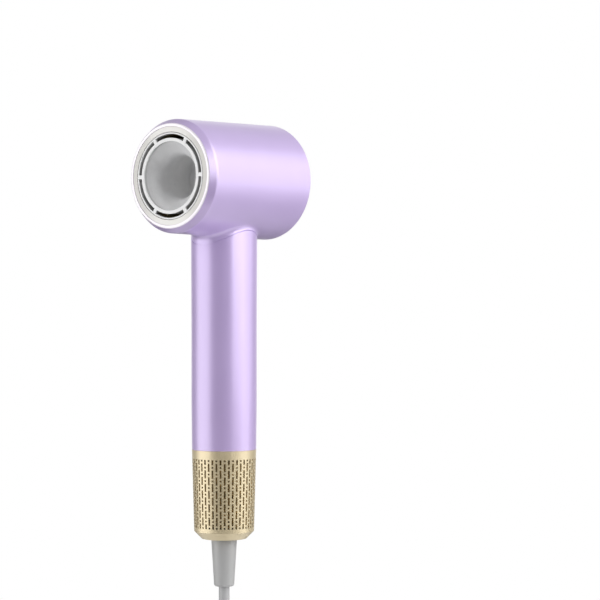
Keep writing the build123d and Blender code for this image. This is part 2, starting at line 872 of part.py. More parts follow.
hub_r = 8.2
hub_wall = 1.0
vane_count = 9
vane_thick = 0.7
vane_length = 10.0
shaft_r = 1.5
bearing_r = 3.5
bearing_width = 2.5
impeller_zone = 14.0  # length of the shroud below the hub, where the impeller turns
hub_bottom_z = motor_bottom_z + impeller_zone
hub_top_z = motor_top_z - 4.0
hub_floor = bearing_width + 0.5

with BuildPart() as motor_shroud:
    with BuildSketch(level(motor_bottom_z)):
        Circle(shroud_r)
        Circle(shroud_bore_r, mode=Mode.SUBTRACT)
    extrude(amount=shroud_length)
    with BuildSketch(level(hub_bottom_z)):
        Circle(hub_r)
        Circle(hub_r - hub_wall, mode=Mode.SUBTRACT)
    extrude(amount=hub_top_z - hub_bottom_z)
    with BuildSketch(level(hub_bottom_z)):
        Circle(hub_r)
        Circle(bearing_r + snug, mode=Mode.SUBTRACT)
    extrude(amount=hub_floor)
    with BuildSketch(level(hub_bottom_z + 1.0)):
        with PolarLocations((hub_r + shroud_r) / 2 - 0.3, vane_count):
            Rectangle(shroud_r - hub_r, vane_thick)
    extrude(amount=vane_length)
save(motor_shroud, "motor_shroud")

upper_bearing_z = hub_top_z - hub_floor
core_length = 9.0
core_z = (hub_bottom_z + hub_floor + upper_bearing_z) / 2 - core_length / 2
core_r = hub_r - hub_wall - snug
core_ring = 1.1
tooth_width = 2.4
tooth_count = 4
rotor_r = 3.2
air_gap = 0.35
winding_wrap = 1.0

with BuildPart() as bearing_carrier:
    with BuildSketch(level(upper_bearing_z)):
        Circle(core_r)
        Circle(bearing_r + snug, mode=Mode.SUBTRACT)
    extrude(amount=hub_floor)
save(bearing_carrier, "bearing_carrier")

with BuildPart() as motor_bearings:
    for z in (hub_bottom_z + 0.25, upper_bearing_z + 0.25):
        with BuildSketch(level(z)):
            Circle(bearing_r)
            Circle(shaft_r + 0.03, mode=Mode.SUBTRACT)
        extrude(amount=bearing_width)
save(motor_bearings, "motor_bearings")

with BuildPart() as stator_core:
    with BuildSketch(level(core_z)):
        Circle(core_r)
        Circle(core_r - core_ring, mode=Mode.SUBTRACT)
        with PolarLocations((core_r + rotor_r) / 2, tooth_count):
            Rectangle(core_r - rotor_r - core_ring, tooth_width)
        Circle(rotor_r + air_gap, mode=Mode.SUBTRACT)
    extrude(amount=core_length)
save(stator_core, "stator_core")

winding_inner_r = rotor_r + air_gap + 0.5
winding_depth = core_r - core_ring - snug - winding_inner_r

with BuildPart() as stator_windings:
    with BuildSketch(level(core_z - winding_wrap)):
        with PolarLocations(winding_inner_r + winding_depth / 2, tooth_count):
            Rectangle(winding_depth, tooth_width + 2 * winding_wrap)
    extrude(amount=core_length + 2 * winding_wrap)
    with BuildSketch(level(core_z - snug)):
        with PolarLocations(winding_inner_r + winding_depth / 2, tooth_count):
            Rectangle(2 * winding_depth, tooth_width + 2 * snug)
    extrude(amount=core_length + 2 * snug, mode=Mode.SUBTRACT)
    with BuildSketch(level(core_z - winding_wrap)):
        Circle(core_r + 1)
        Circle(core_r - core_ring - snug, mode=Mode.SUBTRACT)
    extrude(amount=core_length + 2 * winding_wrap, mode=Mode.SUBTRACT)
save(stator_windings, "stator_windings")

shaft_bottom_z = motor_bottom_z + 2.0

with BuildPart() as rotor_shaft:
    with BuildSketch(level(shaft_bottom_z)):
        Circle(shaft_r)
    extrude(amount=hub_top_z - 0.3 - shaft_bottom_z)
save(rotor_shaft, "rotor_shaft")

with BuildPart() as rotor_magnet:
    with BuildSketch(level(core_z)):
        Circle(rotor_r)
        Circle(shaft_r, mode=Mode.SUBTRACT)
    extrude(amount=core_length)
save(rotor_magnet, "rotor_magnet")

impeller_z = motor_bottom_z + 3.0
impeller_height = impeller_zone - 3.0 - 0.6
impeller_hub_r = hub_r - 0.6
blade_count = 11
blade_thick = 0.8
blade_angle = 42.0
blade_r = shroud_bore_r - slide_gap

with BuildPart() as impeller:
    with BuildSketch(level(impeller_z)):
        Circle(impeller_hub_r)
    extrude(amount=impeller_height)
    fillet(edges().group_by(Axis.Z)[0], radius=3.0)
    with PolarLocations(0, blade_count):
        with Locations(Location((blade_r / 2, 0, impeller_z + impeller_height / 2), (blade_angle, 0, 0))):
            Box(blade_r, blade_thick, impeller_height - 1.5)
    with BuildSketch(level(impeller_z - impeller_height)):
        Circle(2 * blade_r)
        Circle(blade_r, mode=Mode.SUBTRACT)
    extrude(amount=3 * impeller_height, mode=Mode.SUBTRACT)
    with BuildSketch(level(impeller_z - 1)):
        Circle(shaft_r)
    extrude(amount=impeller_height + 2, mode=Mode.SUBTRACT)
save(impeller, "impeller")

with BuildPart() as motor_board:
    with BuildSketch(level(hub_top_z)):
        Circle(hub_r)
        Circle(2 * shaft_r, mode=Mode.SUBTRACT)
    extrude(amount=1.2)
    with BuildSketch(level(hub_top_z + 1.2)):
        with PolarLocations(5.6, 3):
            Rectangle(3.0, 3.0)
    extrude(amount=1.0)
save(motor_board, "motor_board")

# ---- Intake cage, filter mesh and strain relief ----

cage_flange = 4.0
cage_rib_r = 15.4
cage_ring_r = cage_rib_r - 1.8
cage_rib_width = 2.4
cage_rib_count = 8
mesh_wall = 0.25
mesh_r = cage_rib_r + snug + mesh_wall
cover_end_z = handle_end_z - cover_length
cover_bottom_z = cover_end_z - cover_chamfer
base_top_z = cover_end_z + 3.0
base_thick = 2.0
keeper_thick = 0.6
keeper_top_z = cover_bottom_z + cover_wall + keeper_thick
boss_bottom_z = keeper_top_z + soft_gap
boss_r = 12.2
cover_magnet_r = 1.7
cover_magnet_thick = 2.0
cover_magnet_count = 4
relief_flange_r = 9.0
relief_flange = 2.5
clamp_post_x = 11.2
clamp_post_r = 2.2
cord_r = cord_d / 2

with BuildPart() as intake_cage:
    with BuildSketch(level(handle_end_z)):
        Circle(handle_bore_r - snug)
        Circle(cage_ring_r, mode=Mode.SUBTRACT)
    extrude(amount=cage_flange)
    with BuildSketch(level(base_top_z)):
        with PolarLocations((cage_rib_r + cage_ring_r) / 2, cage_rib_count):
            Rectangle(cage_rib_r - cage_ring_r - 0.2, cage_rib_width)
    extrude(amount=handle_end_z - base_top_z)
    with BuildSketch(level(base_top_z)):
        Circle(mesh_r)
    extrude(amount=-base_thick)
    with BuildSketch(level(base_top_z - base_thick)):
        Circle(boss_r)
    extrude(amount=boss_bottom_z - base_top_z + base_thick)
    with BuildSketch(level(base_top_z)):
        with Locations((clamp_post_x, 0), (-clamp_post_x, 0)):
            Circle(clamp_post_r)
    extrude(amount=relief_flange)
    with BuildSketch(level(base_top_z)):
        Circle(relief_top_r + snug)
    extrude(amount=boss_bottom_z - base_top_z, mode=Mode.SUBTRACT)
    with BuildSketch(level(base_top_z + relief_flange)):
        with Locations((clamp_post_x, 0), (-clamp_post_x, 0)):
            Circle(screw_r)
    extrude(amount=-relief_flange - base_thick + 0.6, mode=Mode.SUBTRACT)
    with BuildSketch(level(boss_bottom_z)):
        with PolarLocations((relief_top_r + boss_r) / 2, cover_magnet_count, start_angle=45):
            Circle(cover_magnet_r + snug)
    extrude(amount=cover_magnet_thick, mode=Mode.SUBTRACT)
save(intake_cage, "intake_cage")

with BuildPart() as cover_magnets:
    with BuildSketch(level(boss_bottom_z)):
        with PolarLocations((relief_top_r + boss_r) / 2, cover_magnet_count, start_angle=45):
            Circle(cover_magnet_r)
    extrude(amount=cover_magnet_thick)
save(cover_magnets, "cover_magnets")

with BuildPart() as filter_mesh:
    with BuildSketch(level(base_top_z + snug)):
        Circle(mesh_r)
        Circle(mesh_r - mesh_wall, mode=Mode.SUBTRACT)
    extrude(amount=handle_end_z - base_top_z - 2 * snug)
save(filter_mesh, "filter_mesh")

relief_exit_z = cover_bottom_z - relief_length
cord_bore_r = cord_r + snug

with BuildPart() as strain_relief:
    with BuildSketch(Plane.XZ):
        with BuildLine():
            FilletPolyline(
                (cord_bore_r, relief_exit_z),
                (relief_end_r, relief_exit_z),
                (relief_top_r, cover_bottom_z),
                (relief_top_r, base_top_z),
                radius=[1.4, 0.5],
            )
            Polyline(
                (relief_top_r, base_top_z),
                (relief_flange_r, base_top_z),
                (relief_flange_r, base_top_z + relief_flange),
                (cord_bore_r, base_top_z + relief_flange),
                (cord_bore_r, relief_exit_z),
            )
        make_face()
    revolve(axis=Axis.Z)
save(strain_relief, "strain_relief")

clamp_z = base_top_z + relief_flange
clamp_thick = 2.6
tail_top_z = clamp_z + clamp_thick + 4.0

with BuildPart() as cord_clamp:
    with BuildSketch(level(clamp_z)):
        SlotOverall(2 * (clamp_post_x + clamp_post_r), 8.0)
        Circle(cord_bore_r + 1.4)
        Circle(cord_bore_r, mode=Mode.SUBTRACT)
        with Locations((clamp_post_x, 0), (-clamp_post_x, 0)):
            Circle(screw_r + fit_gap, mode=Mode.SUBTRACT)
    extrude(amount=clamp_thick)
save(cord_clamp, "cord_clamp")

with BuildPart() as clamp_screws:
    with BuildSketch(level(clamp_z + clamp_thick)):
        with Locations((clamp_post_x, 0), (-clamp_post_x, 0)):
            Circle(2 * screw_r)
    extrude(amount=1.2)
    with BuildSketch(level(clamp_z + clamp_thick)):
        with Locations((clamp_post_x, 0), (-clamp_post_x, 0)):
            Circle(screw_r)
    extrude(amount=-clamp_thick - relief_flange)
save(clamp_screws, "clamp_screws")

with BuildPart() as cord_tail:
    with BuildSketch(level(relief_exit_z)):
        Circle(cord_r)
    extrude(amount=tail_top_z - relief_exit_z)
save(cord_tail, "cord_tail")

# ---- Filter cover ----

hole_arc = degrees(dot_d / cover_end_r)
column_angle = 360 / column_pairs / 2
end_shift = (dash_length - short_dash) / 2


def column_plane(angle):
    """Upright plane through the handle axis, where the first row of a column of holes begins."""
    out = Vector(cos(radians(angle)), sin(radians(angle)), 0)
    side = Vector(sin(radians(angle)), -cos(radians(angle)), 0)
    return Plane(origin=Vector(0, 0, handle_end_z - first_row) + out * cover_end_r, x_dir=out, z_dir=side)


# One pair of columns: the first starts with a dot, the second with a short dash, half a pitch off.
# Every hole is cut by two planes through the handle axis and two level ones.
with BuildPart() as column_pair:
    with BuildSketch(column_plane(-hole_arc / 2)):
        for row in range(pattern_rows + 1):
            with Locations((0, -row * pattern_pitch)):
                Rectangle(4 * cover_wall, dot_d)
        for row in range(pattern_rows):
            with Locations((0, -(row + 0.5) * pattern_pitch)):
                Rectangle(4 * cover_wall, dash_length)
    revolve(axis=Axis.Z, revolution_arc=hole_arc)
    with BuildSketch(column_plane(column_angle - hole_arc / 2)):
        for row in range(pattern_rows):
            with Locations((0, -(row + 0.5) * pattern_pitch)):
                Rectangle(4 * cover_wall, dot_d)
        for row in range(1, pattern_rows):
            with Locations((0, -row * pattern_pitch)):
                Rectangle(4 * cover_wall, dash_length)
        with Locations((0, -end_shift), (0, end_shift - pattern_rows * pattern_pitch)):
            Rectangle(4 * cover_wall, short_dash)
    revolve(axis=Axis.Z, revolution_arc=hole_arc)

inner_drop = cover_wall * (sqrt(2) - 1)  # keeps the chamfer's wall as thick as the rest

with BuildPart() as filter_cover:
    with BuildSketch(Plane.XZ):
        with BuildLine():
            Polyline(
                (tail_r, handle_end_z),
                (cover_end_r, cover_end_z),
                (cover_end_r - cover_chamfer, cover_bottom_z),
                (relief_top_r + 0.4, cover_bottom_z),
                (relief_top_r + 0.4, cover_bottom_z + cover_wall),
                (cover_end_r - cover_chamfer - inner_drop, cover_bottom_z + cover_wall),
                (cover_end_r - cover_wall, cover_end_z + inner_drop),
                (tail_r - cover_wall, handle_end_z),
                close=True,
            )
        make_face()
    revolve(axis=Axis.Z)
    chamfer(edges().group_by(Axis.Z)[-1].sort_by(SortBy.RADIUS)[-1], length=0.15)
    with PolarLocations(0, column_pairs, start_angle=pattern_turn):
        add(column_pair.part, mode=Mode.SUBTRACT)
save(filter_cover, "filter_cover")

with BuildPart() as cover_keeper:
    with BuildSketch(level(cover_bottom_z + cover_wall)):
        Circle(boss_r - 0.2)
        Circle(relief_top_r + 0.6, mode=Mode.SUBTRACT)
    extrude(amount=keeper_thick)
save(cover_keeper, "cover_keeper")

# ---- Leads inside ----

lead_start_z = tail_top_z
board_land_z = (frame_bottom_z + switch_board_bottom_z) / 2


def lead_path(side):
    """Lead from the end of the cord, past the motor, to the lower edge of the switch board."""
    return FilletPolyline(
        (side * 1.3, 0, lead_start_z),
        (side * 1.3, 0, lead_start_z + 12),
        (side * lead_x, lead_y, handle_end_z + 3 * cage_flange + 1),
        (side * lead_x, lead_y, board_land_z),
        (side * lead_x, board_front_y, board_land_z),
        radius=[8, 8, 3],
    )


lead_paths = [lead_path(side) for side in (-1, 1)]

with BuildPart() as mains_leads:
    for path in lead_paths:
        with BuildSketch(Plane(origin=path @ 0, z_dir=path % 0)):
            Circle(lead_d / 2)
        sweep(path=path)
save(mains_leads, "mains_leads")

head_lead_z = below(head_lead_drop)
motor_lead_y = 3.6


def head_lead_path(x):
    """Lead from the top of the switch board, through the divider, to the main board."""
    return FilletPolyline(
        (x, board_front_y - switch_board_thick / 2, frame_top_z),
        (x, board_front_y - switch_board_thick / 2, head_lead_z),
        (x, board_y, head_lead_z),
        radius=6,
    )


def motor_lead_path(x):
    """Lead from the motor board, through the duct's flat wall, to the switch board."""
    return FilletPolyline(
        (x, motor_lead_y, hub_top_z + 2.2),
        (x, motor_lead_y, motor_lead_z),
        (x, board_rear_y, motor_lead_z),
        radius=2,
    )


head_lead_paths = [head_lead_path(x) for x in (-head_lead_x, head_lead_x)]
motor_lead_paths = [motor_lead_path(x) for x in motor_lead_xs]

with BuildPart() as head_leads:
    for path in head_lead_paths:
        with BuildSketch(Plane(origin=path @ 0, z_dir=path % 0)):
            Circle(head_lead_d / 2)
        sweep(path=path)
save(head_leads, "head_leads")

with BuildPart() as motor_leads:
    for path in motor_lead_paths:
        with BuildSketch(Plane(origin=path @ 0, z_dir=path % 0)):
            Circle(motor_lead_d / 2)
        sweep(path=path)
save(motor_leads, "motor_leads")

# ---- Cord outside, hank, tie and plug ----

hank_top_z = relief_exit_z - drop_length
hank_half_width = hank_bend_r + cord_r
hank_half_depth = (hank_layers / 2) * hank_layer_pitch + cord_r + 0.1
hank_centre_z = hank_top_z - hank_height / 2
hank_arc_z = hank_top_z - hank_height + hank_half_width
tail_x = -hank_bend_r
tail_y = -(hank_half_depth - cord_r)
tail_start_z = hank_arc_z - chord(hank_half_width, hank_half_width - cord_d) - snug
plug_top_z = hank_top_z - hank_height - 14.0
collar_length_plug = 12.0
plug_size = (22.0, 15.0)
plug_length = 26.0
pin_spacing = 12.7
pin_size = (1.5, 6.3)
pin_length = 17.0

with BuildPart() as cord_tube:
    with BuildSketch(level(relief_exit_z)):
        Circle(cord_r)
    extrude(amount=-drop_length)
    with BuildSketch(level(tail_start_z)):
        with Locations((tail_x, tail_y)):
            Circle(cord_r)
    extrude(amount=plug_top_z - tail_start_z)
save(cord_tube, "cord_tube")

with BuildPart() as cord_hank:
    with BuildSketch(facing_controls(-hank_half_depth, hank_centre_z)):
        SlotOverall(hank_height, 2 * hank_half_width, rotation=90)
        SlotOverall(hank_height - 2 * cord_d, 2 * (hank_half_width - cord_d), rotation=90, mode=Mode.SUBTRACT)
    extrude(amount=2 * hank_half_depth)
    outer_rims = edges().group_by(Axis.Y)[0].sort_by(Axis.X), edges().group_by(Axis.Y)[-1].sort_by(Axis.X)
    fillet([edge for rim in outer_rims for edge in (rim[0], rim[-1])], radius=cord_r - 0.2)
save(cord_hank, "cord_hank")

tie_thick = 1.4
tie_width = 18.0

with BuildPart() as cord_tie:
    with BuildSketch(level(hank_centre_z - tie_width / 2)):
        RectangleRounded(
            2 * (hank_half_width + soft_gap + tie_thick), 2 * (hank_half_depth + soft_gap + tie_thick), 4.0
        )
        RectangleRounded(
            2 * (hank_half_width + soft_gap), 2 * (hank_half_depth + soft_gap), 2.6, mode=Mode.SUBTRACT
        )
    extrude(amount=tie_width)
save(cord_tie, "cord_tie")

plug_body_top_z = plug_top_z - collar_length_plug
plug_face_z = plug_body_top_z - plug_length

with BuildPart() as plug_body:
    with BuildSketch(level(plug_top_z)):
        with Locations((tail_x, tail_y)):
            Circle(cord_r + 1.2)
    with BuildSketch(level(plug_body_top_z)):
        with Locations((tail_x, tail_y)):
            Circle(cord_r + 2.6)
    loft()
    with BuildSketch(level(plug_face_z)):
        with Locations((tail_x, tail_y)):
            RectangleRounded(plug_size[0], plug_size[1], 4.0)
    extrude(amount=plug_length)
    fillet(faces().filter_by(Plane.XY).group_by(Axis.Z)[0].edges(), radius=1.2)
save(plug_body, "plug_body")

with BuildPart() as plug_pins:
    with BuildSketch(level(plug_face_z)):
        with Locations((tail_x - pin_spacing / 2, tail_y), (tail_x + pin_spacing / 2, tail_y)):
            Rectangle(*pin_size)
    extrude(amount=-pin_length)
    chamfer(edges().group_by(Axis.Z)[0], length=0.4)
save(plug_pins, "plug_pins")
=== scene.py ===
from math import cos, pi, radians, sin

import bpy
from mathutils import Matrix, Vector


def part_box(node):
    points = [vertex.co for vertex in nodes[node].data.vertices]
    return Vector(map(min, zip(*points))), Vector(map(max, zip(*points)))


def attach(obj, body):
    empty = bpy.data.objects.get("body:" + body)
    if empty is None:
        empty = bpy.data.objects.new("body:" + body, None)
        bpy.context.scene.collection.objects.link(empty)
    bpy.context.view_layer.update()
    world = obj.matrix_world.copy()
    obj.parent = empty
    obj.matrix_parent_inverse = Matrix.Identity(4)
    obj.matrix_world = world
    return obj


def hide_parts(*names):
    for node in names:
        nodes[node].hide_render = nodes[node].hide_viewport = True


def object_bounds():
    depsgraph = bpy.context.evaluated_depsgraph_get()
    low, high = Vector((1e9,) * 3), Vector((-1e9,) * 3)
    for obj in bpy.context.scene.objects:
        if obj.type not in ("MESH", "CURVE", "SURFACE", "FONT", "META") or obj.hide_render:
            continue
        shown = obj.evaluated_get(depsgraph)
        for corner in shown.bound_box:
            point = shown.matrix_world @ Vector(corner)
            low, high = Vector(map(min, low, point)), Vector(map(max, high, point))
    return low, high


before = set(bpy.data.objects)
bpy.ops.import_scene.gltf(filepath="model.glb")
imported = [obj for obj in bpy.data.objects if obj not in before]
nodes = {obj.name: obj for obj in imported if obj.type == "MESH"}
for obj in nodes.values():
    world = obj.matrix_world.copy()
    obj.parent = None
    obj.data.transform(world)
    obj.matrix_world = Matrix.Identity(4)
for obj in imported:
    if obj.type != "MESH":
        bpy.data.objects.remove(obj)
cad_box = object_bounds()

# ---- Heater in the head ----
# Resistance wire wound on a cross of mica fins, in a mica sleeve. The fins slot into a tube round
# the cup, and the sleeve keeps the heat off the shell.


def tint(red, green, blue):
    """Turns a colour written from 0 to 255 into the linear one that the shader takes."""
    channels = [part / 255 for part in (red, green, blue)]
    return [c / 12.92 if c <= 0.04045 else ((c + 0.055) / 1.055) ** 2.4 for c in channels] + [1.0]


def open_group(name, takes, gives):
    """A node group with its sockets, ready to be wired: the group, its input and its output."""
    group = bpy.data.node_groups.new(name, "ShaderNodeTree")
    for in_out, sockets in (("INPUT", takes), ("OUTPUT", gives)):
        for label, kind in sockets.items():
            group.interface.new_socket(label, in_out=in_out, socket_type="NodeSocket" + kind)
    return group, group.nodes.new("NodeGroupInput"), group.nodes.new("NodeGroupOutput")


def add_step(parts, operation, kind="ShaderNodeMath"):
    """One step of arithmetic on a number, or on a vector."""
    step = parts.new(kind)
    step.operation = operation
    return step


def add_range(parts, low, high, to_low=0.0, to_high=1.0, curve="LINEAR"):
    """A node that stretches one range of values to another."""
    ramp = parts.new("ShaderNodeMapRange")
    ramp.interpolation_type = curve
    ramp.inputs["From Min"].default_value = low
    ramp.inputs["From Max"].default_value = high
    ramp.inputs["To Min"].default_value = to_low
    ramp.inputs["To Max"].default_value = to_high
    return ramp


def make_grain_group():
    """Grain that every moulded, painted or rolled surface has: fine pits over slow blotches."""
    takes = {"Vector": "Vector", "Grain": "Float", "Blotch": "Float"}
    takes.update({"Dark": "Color", "Light": "Color", "Smooth": "Float", "Rough": "Float"})
    gives = {"Color": "Color", "Roughness": "Float", "Height": "Float"}
    group, given, result = open_group("surface_grain", takes, gives)
    parts = group.nodes
    wires = group.links
    pits = parts.new("ShaderNodeTexNoise")
    pits.inputs["Detail"].default_value = 3.0
    wires.new(given.outputs["Vector"], pits.inputs["Vector"])
    wires.new(given.outputs["Grain"], pits.inputs["Scale"])
    clouds = parts.new("ShaderNodeTexNoise")
    clouds.inputs["Detail"].default_value = 2.0
    wires.new(given.outputs["Vector"], clouds.inputs["Vector"])
    wires.new(given.outputs["Blotch"], clouds.inputs["Scale"])
    blend = parts.new("ShaderNodeMix")
    blend.inputs["Factor"].default_value = 0.4
    wires.new(clouds.outputs["Fac"], blend.inputs["A"])
    wires.new(pits.outputs["Fac"], blend.inputs["B"])
    spread = add_range(parts, low=0.3, high=0.7)
    wires.new(blend.outputs["Result"], spread.inputs["Value"])
    colour = parts.new("ShaderNodeMix")
    colour.data_type = "RGBA"
    wires.new(spread.outputs["Result"], colour.inputs["Factor"])
    wires.new(given.outputs["Dark"], colour.inputs["A"])
    wires.new(given.outputs["Light"], colour.inputs["B"])
    polish = add_range(parts, low=0.0, high=1.0)
    wires.new(spread.outputs["Result"], polish.inputs["Value"])
    wires.new(given.outputs["Smooth"], polish.inputs["To Min"])
    wires.new(given.outputs["Rough"], polish.inputs["To Max"])
    wires.new(colour.outputs["Result"], result.inputs["Color"])
    wires.new(polish.outputs["Result"], result.inputs["Roughness"])
    wires.new(pits.outputs["Fac"], result.inputs["Height"])
    return group


surface_grain = make_grain_group()
grain_height = 0.0002


def make_finish(name, dark, light, metal, smooth, rough, grain=3000, blotch=60, depth=0.05):
    """A finish whose colour wanders between two near tints, with its own roughness and grain."""
    finish = bpy.data.materials.new(name)
    finish.use_nodes = True
    parts = finish.node_tree.nodes
    wires = finish.node_tree.links
    shader = parts["Principled BSDF"]
    shader.inputs["Metallic"].default_value = metal
    place = parts.new("ShaderNodeTexCoord")
    lay = parts.new("ShaderNodeMapping")
    lay.name = "Lay"
    grained = parts.new("ShaderNodeGroup")
    grained.node_tree = surface_grain
    grained.name = "Grain"
    grained.inputs["Grain"].default_value = grain
    grained.inputs["Blotch"].default_value = blotch
    grained.inputs["Dark"].default_value = tint(*dark)
    grained.inputs["Light"].default_value = tint(*light)
    grained.inputs["Smooth"].default_value = smooth
    grained.inputs["Rough"].default_value = rough
    relief = parts.new("ShaderNodeBump")
    relief.name = "Relief"
    relief.inputs["Strength"].default_value = depth
    relief.inputs["Distance"].default_value = grain_height
    wires.new(place.outputs["Object"], lay.inputs["Vector"])
    wires.new(lay.outputs["Vector"], grained.inputs["Vector"])
    wires.new(grained.outputs["Color"], shader.inputs["Base Color"])
    wires.new(grained.outputs["Roughness"], shader.inputs["Roughness"])
    wires.new(grained.outputs["Height"], relief.inputs["Height"])
    wires.new(relief.outputs["Normal"], shader.inputs["Normal"])
    return finish


def put_on(finish, *names):
    """Gives CAD nodes a finish in all their material slots."""
    for name in names:
        piece = nodes[name]
        piece.data.materials.clear()
        piece.data.materials.append(finish)


mica = make_finish(
    "mica_board", dark=(196, 176, 132), light=(222, 206, 166),
    metal=0.0, smooth=0.35, rough=0.55, grain=1400, blotch=220, depth=0.2,
)
mica.node_tree.nodes["Lay"].inputs["Scale"].default_value = (1.0, 0.25, 1.0)
heater_wire = make_finish(
    "heater_wire", dark=(112, 108, 104), light=(150, 144, 138),
    metal=1.0, smooth=0.3, rough=0.5, grain=5000, blotch=300,
)
put_on(mica, "heater_frame", "heater_sleeve")
put_on(heater_wire, "heater_coil")

# ---- Small metal parts ----
# Screws, shaft, bearings and their carrier, stator core, the cut-out's case and the cover's keeper
# ring are plated or ground steel. The magnets are nickel-plated.

steel = make_finish(
    "plated_steel", dark=(150, 150, 152), light=(186, 186, 188),
    metal=1.0, smooth=0.22, rough=0.38, grain=2600, blotch=120, depth=0.08,
)
put_on(
    steel,
    "cap_screws",
    "control_screws",
    "clamp_screws",
    "rotor_shaft",
    "motor_bearings",
    "stator_core",
    "cover_keeper",
    "thermal_cutout",
    "bearing_carrier",
)
magnet = make_finish(
    "nickelled_magnet", dark=(164, 162, 156), light=(190, 188, 182),
    metal=1.0, smooth=0.15, rough=0.28, grain=2000, blotch=150,
)
put_on(magnet, "nozzle_magnets", "cover_magnets", "rotor_magnet")

# ---- Boards and what stands on them ----
# Glass-fibre boards with solder mask, moulded components, sensor and ion module, the enamelled
# copper windings of the motor, and the red leads between them.

board_mask = make_finish(
    "board_mask", dark=(18, 74, 46), light=(30, 98, 62),
    metal=0.0, smooth=0.3, rough=0.45, grain=1800, blotch=90, depth=0.12,
)
component = make_finish(
    "component_mould", dark=(40, 44, 54), light=(66, 70, 82),
    metal=0.0, smooth=0.35, rough=0.55, grain=2400, blotch=120, depth=0.1,
)
copper = make_finish(
    "enamelled_copper", dark=(168, 88, 44), light=(204, 120, 66),
    metal=0.9, smooth=0.25, rough=0.4, grain=1600, blotch=200, depth=0.3,
)
lead_red = make_finish(
    "lead_insulation", dark=(150, 34, 30), light=(182, 50, 42),
    metal=0.0, smooth=0.4, rough=0.55, grain=2200, blotch=90, depth=0.1,
)
put_on(board_mask, "main_board", "switch_board", "motor_board")
put_on(
    component,
    "ion_module",
    "power_capacitor",
    "board_components",
    "temperature_sensor",
    "ion_emitters",
)
put_on(copper, "stator_windings")
put_on(lead_red, "mains_leads", "head_leads", "motor_leads")

# ---- Motor and duct in the handle ----
# A die-cast shroud and impeller on rubber rings, inside a duct of black nylon. The switches and
# their frame, the intake cage and the cord's clamp are moulded in the same nylon.

motor_alloy = make_finish(
    "motor_alloy", dark=(168, 170, 174), light=(196, 198, 202),
    metal=1.0, smooth=0.3, rough=0.48, grain=1800, blotch=90, depth=0.15,
)
black_rubber = make_finish(
    "black_rubber", dark=(26, 26, 28), light=(40, 40, 42),
    metal=0.0, smooth=0.6, rough=0.78, grain=2600, blotch=140, depth=0.2,
)
inner_black = make_finish(
    "black_nylon", dark=(24, 24, 26), light=(38, 38, 41),
    metal=0.0, smooth=0.42, rough=0.6, grain=2200, blotch=90, depth=0.12,
)
put_on(motor_alloy, "motor_shroud", "impeller")
put_on(black_rubber, "motor_mounts")
put_on(
    inner_black,
    "control_frame",
    "air_duct",
    "intake_cage",
    "chamber_divider",
    "slide_switch",
    "tact_switch",
    "tact_plunger",
    "switch_lever",
    "cord_clamp",
)

# ---- Head and handle shells, slider floor ----
# Moulded shells sprayed with a pearl lilac paint: a coloured base with fine mica flakes in it,
# so it shines softly like satin metal. The same paint is on the floor of the slider's slot.

mm = 0.001


def set_gloss(finish, level):
    """How strongly the bare surface mirrors, where 0.5 is plain plastic."""
    finish.node_tree.nodes["Principled BSDF"].inputs["Specular IOR Level"].default_value = level


def add_clear_coat(finish, weight, roughness, index):
    """Clear lacquer over a finish, which mirrors the lamps without tinting them."""
    shader = finish.node_tree.nodes["Principled BSDF"]
    shader.inputs["Coat Weight"].default_value = weight
    shader.inputs["Coat Roughness"].default_value = roughness
    shader.inputs["Coat IOR"].default_value = index


def make_pearl(name, dark, light):
    """Pearl lilac paint under a thick coat of satin lacquer."""
    finish = make_finish(
        name, dark, light, metal=0.25, smooth=0.36, rough=0.4, grain=6500, blotch=40, depth=0.03
    )
    set_gloss(finish, 0.8)
    add_clear_coat(finish, weight=1.0, roughness=0.33, index=1.8)
    return finish


def make_ring_group():
    """Masks round the head axis: how far behind the outlet's face, and how near top or bottom."""
    gives = {"Depth": "Float", "Uprightness": "Float"}
    group, given, result = open_group("head_axis_masks", {"Vector": "Vector"}, gives)
    parts = group.nodes
    wires = group.links
    centred = add_step(parts, "SUBTRACT", "ShaderNodeVectorMath")
    centred.inputs[1].default_value = (0.0, face_y, head_axis_z)
    flat = add_step(parts, "MULTIPLY", "ShaderNodeVectorMath")
    flat.inputs[1].default_value = (1.0, 0.0, 1.0)
    outward = add_step(parts, "NORMALIZE", "ShaderNodeVectorMath")
    split = parts.new("ShaderNodeSeparateXYZ")
    split_out = parts.new("ShaderNodeSeparateXYZ")
    upright = add_step(parts, "ABSOLUTE")
    wires.new(given.outputs["Vector"], centred.inputs[0])
    wires.new(centred.outputs["Vector"], flat.inputs[0])
    wires.new(centred.outputs["Vector"], split.inputs["Vector"])
    wires.new(flat.outputs["Vector"], outward.inputs[0])
    wires.new(outward.outputs["Vector"], split_out.inputs["Vector"])
    wires.new(split_out.outputs["Z"], upright.inputs[0])
    wires.new(split.outputs["Y"], result.inputs["Depth"])
    wires.new(upright.outputs["Value"], result.inputs["Uprightness"])
    return group


